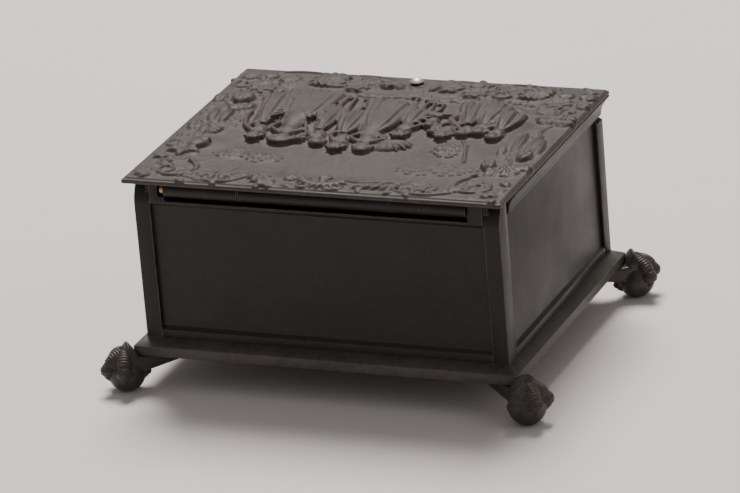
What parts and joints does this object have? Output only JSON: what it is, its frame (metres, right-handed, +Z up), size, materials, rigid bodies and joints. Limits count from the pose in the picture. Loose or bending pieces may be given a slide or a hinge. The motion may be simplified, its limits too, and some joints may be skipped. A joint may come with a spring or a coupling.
{
  "type": "casket inkwell",
  "caption": "Footed metal casket inkwell with a hinged relief lid, ball-and-claw feet, a fitted deck with glass ink pots under brass caps, and a lift-out pen tray.",
  "frame": {"origin": "centre of the footprint of the four feet, on the surface that they stand on", "axes": "+Z up; -Y towards the front, where the thumb knob is; +Y towards the hinge; +X to the right seen from the front"},
  "size_m": [0.1578, 0.1258, 0.0776],
  "materials": {
    "patinated_metal": "satin black-brown patina over cast metal, worn paler along the edges",
    "relief_metal": "grey-brown patina with pale dust lying in the hollows of the relief",
    "foot_metal": "dark brown patina, rubbed brighter on the knuckles and rings",
    "inside_metal": "dull dark sheet metal",
    "screw_metal": "tarnished brass",
    "brass": "aged brass, tarnished in the corners",
    "knob_metal": "polished white metal with a warm tint",
    "pot_glass": "clear pressed glass",
    "cork": "fine-grained cork"
  },
  "bodies": {
    "casket": {"base_frame": "patinated_metal", "floor_plate": "inside_metal", "floor_screws": "screw_metal", "foot_front_left": "foot_metal", "foot_front_right": "foot_metal", "foot_back_left": "foot_metal", "foot_back_right": "foot_metal", "foot_screws": "screw_metal", "post_front_left": "patinated_metal", "post_front_right": "patinated_metal", "post_back_left": "patinated_metal", "post_back_right": "patinated_metal", "front_panel": "patinated_metal", "back_panel": "patinated_metal", "left_panel": "patinated_metal", "right_panel": "patinated_metal", "deck_rest_left": "brass", "deck_rest_right": "brass", "deck_rest_screws": "screw_metal", "deck_plate": "inside_metal", "deck_screws": "screw_metal", "case_hinge_leaf": "brass", "case_leaf_screws": "screw_metal", "hinge_pin": "brass"},
    "lid": {"lid_plate": "relief_metal", "lid_rim_front": "patinated_metal", "lid_rim_left": "patinated_metal", "lid_rim_right": "patinated_metal", "lid_hinge_leaf": "brass", "lid_leaf_rivets": "screw_metal", "knob_cup": "patinated_metal", "thumb_knob": "knob_metal"},
    "left_pot": {"ink_pot_left": "pot_glass", "pot_collar_left": "brass"},
    "right_pot": {"ink_pot_right": "pot_glass", "pot_collar_right": "brass"},
    "left_cap": {"pot_cap_left": "brass", "cap_cork_left": "cork"},
    "right_cap": {"pot_cap_right": "brass", "cap_cork_right": "cork"},
    "tray": {"pen_tray": "brass"}
  },
  "joints": [
    {"name": "lid_hinge", "type": "hinge", "parent": "casket", "child": "lid", "pos_m": [0, 0.0481, 0.07], "axis": [-1, 0, 0], "range_deg": [0, 95]},
    {"name": "left_pot_lift", "type": "slide", "parent": "casket", "child": "left_pot", "axis": [0, 0, 1], "range_m": [0, 0.009]},
    {"name": "right_pot_lift", "type": "slide", "parent": "casket", "child": "right_pot", "axis": [0, 0, 1], "range_m": [0, 0.009]},
    {"name": "left_cap_lift", "type": "slide", "parent": "left_pot", "child": "left_cap", "axis": [0, 0, 1], "range_m": [0, 0.009]},
    {"name": "right_cap_lift", "type": "slide", "parent": "right_pot", "child": "right_cap", "axis": [0, 0, 1], "range_m": [0, 0.009]},
    {"name": "tray_lift", "type": "slide", "parent": "casket", "child": "tray", "axis": [0, 0, 1], "range_m": [0, 0.012]}
  ]
}
